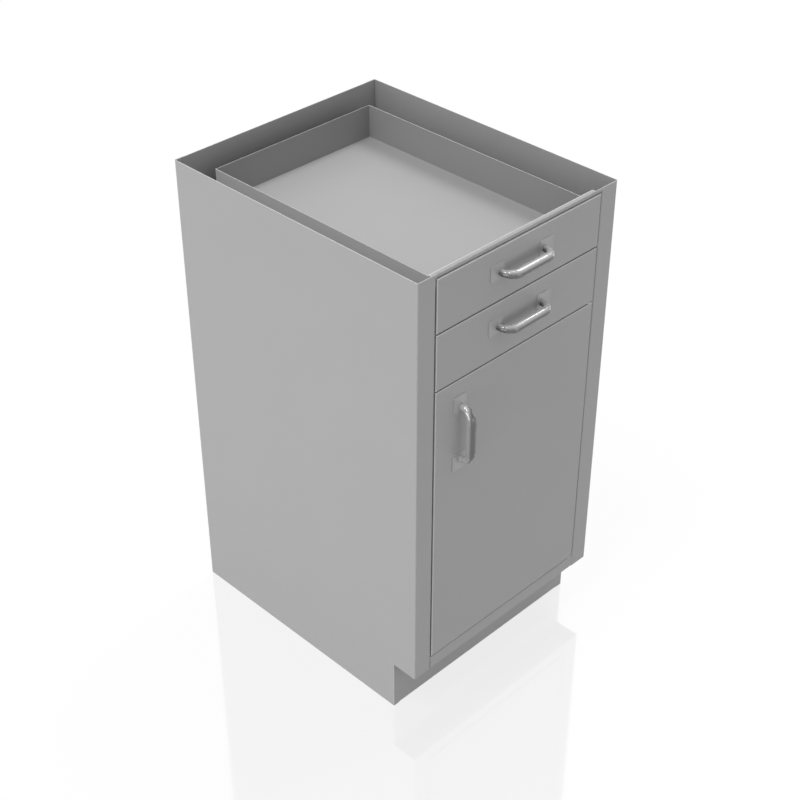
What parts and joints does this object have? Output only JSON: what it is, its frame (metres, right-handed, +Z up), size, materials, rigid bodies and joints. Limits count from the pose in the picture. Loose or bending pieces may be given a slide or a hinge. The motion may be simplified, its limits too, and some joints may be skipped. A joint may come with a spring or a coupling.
{
  "type": "laboratory base cabinet",
  "caption": "Steel base cabinet with an open top, roller drawers over a pivoted door, bowed pulls, an adjustable shelf, a toe space and levelling feet.",
  "frame": {"origin": "on the floor, under the middle of the whole part with its pulls", "axes": "+Z up, -Y towards the person who faces the drawers and the door, +X to that person's right"},
  "size_m": [0.4572, 0.5918, 0.8953],
  "materials": {
    "case_paint": "satin",
    "front_paint": "satin",
    "tray_paint": "satin",
    "plated_steel": "satin",
    "pull_metal": "satin",
    "nylon": "matte",
    "bumper_rubber": "matte",
    "magnet": "matte"
  },
  "bodies": {
    "case": {"left_side": "case_paint", "right_side": "case_paint", "back_panel": "case_paint", "floor_panel": "case_paint", "toe_board": "case_paint", "top_rail": "case_paint", "middle_rail": "case_paint", "cross_rail": "case_paint", "slide_brackets": "plated_steel", "upper_left_channel": "plated_steel", "upper_right_channel": "plated_steel", "lower_left_channel": "plated_steel", "lower_right_channel": "plated_steel", "channel_axles": "plated_steel", "shelf_standards": "plated_steel", "shelf_clips": "plated_steel", "pivot_plate": "plated_steel", "pivot_bushings": "nylon", "catch_housing": "nylon", "catch_magnet": "magnet", "bumpers": "bumper_rubber", "leveling_brackets": "plated_steel", "leveling_nuts": "plated_steel"},
    "upper_drawer": {"upper_head": "front_paint", "upper_liner": "front_paint", "upper_tray": "tray_paint", "upper_tray_ends": "tray_paint", "upper_left_runner": "plated_steel", "upper_right_runner": "plated_steel", "upper_runner_axles": "plated_steel", "upper_pull": "pull_metal", "upper_screws": "plated_steel"},
    "lower_drawer": {"lower_head": "front_paint", "lower_liner": "front_paint", "lower_tray": "tray_paint", "lower_tray_ends": "tray_paint", "lower_left_runner": "plated_steel", "lower_right_runner": "plated_steel", "lower_runner_axles": "plated_steel", "lower_pull": "pull_metal", "lower_screws": "plated_steel"},
    "door": {"door_outer": "front_paint", "door_inner": "front_paint", "door_pull": "pull_metal", "door_pull_screws": "plated_steel", "hinge_pins": "plated_steel", "catch_strike": "plated_steel"},
    "shelf": {"shelf": "case_paint"},
    "upper_left_case_roller": {"upper_left_case_roller": "nylon"},
    "upper_left_drawer_roller": {"upper_left_drawer_roller": "nylon"},
    "upper_right_case_roller": {"upper_right_case_roller": "nylon"},
    "upper_right_drawer_roller": {"upper_right_drawer_roller": "nylon"},
    "lower_left_case_roller": {"lower_left_case_roller": "nylon"},
    "lower_left_drawer_roller": {"lower_left_drawer_roller": "nylon"},
    "lower_right_case_roller": {"lower_right_case_roller": "nylon"},
    "lower_right_drawer_roller": {"lower_right_drawer_roller": "nylon"},
    "front_left_foot": {"front_left_foot": "plated_steel"},
    "front_right_foot": {"front_right_foot": "plated_steel"},
    "back_left_foot": {"back_left_foot": "plated_steel"},
    "back_right_foot": {"back_right_foot": "plated_steel"}
  },
  "joints": [
    {"name": "upper_drawer_slide", "type": "slide", "parent": "case", "child": "upper_drawer", "axis": [0, -1, 0], "range_m": [0, 0.4]},
    {"name": "lower_drawer_slide", "type": "slide", "parent": "case", "child": "lower_drawer", "axis": [0, -1, 0], "range_m": [0, 0.4]},
    {"name": "door_hinge", "type": "hinge", "parent": "case", "child": "door", "pos_m": [0.1821, -0.2574, 0.40538], "axis": [0, 0, 1], "range_deg": [0, 100]},
    {"name": "shelf_lift", "type": "slide", "parent": "case", "child": "shelf", "axis": [0, 0, 1], "range_m": [0, 0.025]},
    {"name": "upper_left_case_roller_spin", "type": "hinge", "parent": "case", "child": "upper_left_case_roller", "pos_m": [-0.1828, -0.2299, 0.82105], "axis": [1, 0, 0], "range_deg": [0, 2300]},
    {"name": "upper_left_drawer_roller_spin", "type": "hinge", "parent": "upper_drawer", "child": "upper_left_drawer_roller", "pos_m": [-0.1828, 0.2439, 0.82105], "axis": [1, 0, 0], "range_deg": [0, 2300]},
    {"name": "upper_right_case_roller_spin", "type": "hinge", "parent": "case", "child": "upper_right_case_roller", "pos_m": [0.1828, -0.2299, 0.82105], "axis": [1, 0, 0], "range_deg": [0, 2300]},
    {"name": "upper_right_drawer_roller_spin", "type": "hinge", "parent": "upper_drawer", "child": "upper_right_drawer_roller", "pos_m": [0.1828, 0.2439, 0.82105], "axis": [1, 0, 0], "range_deg": [0, 2300]},
    {"name": "lower_left_case_roller_spin", "type": "hinge", "parent": "case", "child": "lower_left_case_roller", "pos_m": [-0.1828, -0.2299, 0.71685], "axis": [1, 0, 0], "range_deg": [0, 2300]},
    {"name": "lower_left_drawer_roller_spin", "type": "hinge", "parent": "lower_drawer", "child": "lower_left_drawer_roller", "pos_m": [-0.1828, 0.2439, 0.71685], "axis": [1, 0, 0], "range_deg": [0, 2300]},
    {"name": "lower_right_case_roller_spin", "type": "hinge", "parent": "case", "child": "lower_right_case_roller", "pos_m": [0.1828, -0.2299, 0.71685], "axis": [1, 0, 0], "range_deg": [0, 2300]},
    {"name": "lower_right_drawer_roller_spin", "type": "hinge", "parent": "lower_drawer", "child": "lower_right_drawer_roller", "pos_m": [0.1828, 0.2439, 0.71685], "axis": [1, 0, 0], "range_deg": [0, 2300]},
    {"name": "front_left_foot_screw", "type": "slide", "parent": "case", "child": "front_left_foot", "axis": [0, 0, -1], "range_m": [0, 0.03]},
    {"name": "front_right_foot_screw", "type": "slide", "parent": "case", "child": "front_right_foot", "axis": [0, 0, -1], "range_m": [0, 0.03]},
    {"name": "back_left_foot_screw", "type": "slide", "parent": "case", "child": "back_left_foot", "axis": [0, 0, -1], "range_m": [0, 0.03]},
    {"name": "back_right_foot_screw", "type": "slide", "parent": "case", "child": "back_right_foot", "axis": [0, 0, -1], "range_m": [0, 0.03]}
  ],
  "couplings": [
    {"joint": "upper_left_case_roller_spin", "follows": "upper_drawer_slide", "rad_per_m": 100},
    {"joint": "upper_left_drawer_roller_spin", "follows": "upper_drawer_slide", "rad_per_m": 100},
    {"joint": "upper_right_case_roller_spin", "follows": "upper_drawer_slide", "rad_per_m": 100},
    {"joint": "upper_right_drawer_roller_spin", "follows": "upper_drawer_slide", "rad_per_m": 100},
    {"joint": "lower_left_case_roller_spin", "follows": "lower_drawer_slide", "rad_per_m": 100},
    {"joint": "lower_left_drawer_roller_spin", "follows": "lower_drawer_slide", "rad_per_m": 100},
    {"joint": "lower_right_case_roller_spin", "follows": "lower_drawer_slide", "rad_per_m": 100},
    {"joint": "lower_right_drawer_roller_spin", "follows": "lower_drawer_slide", "rad_per_m": 100}
  ]
}
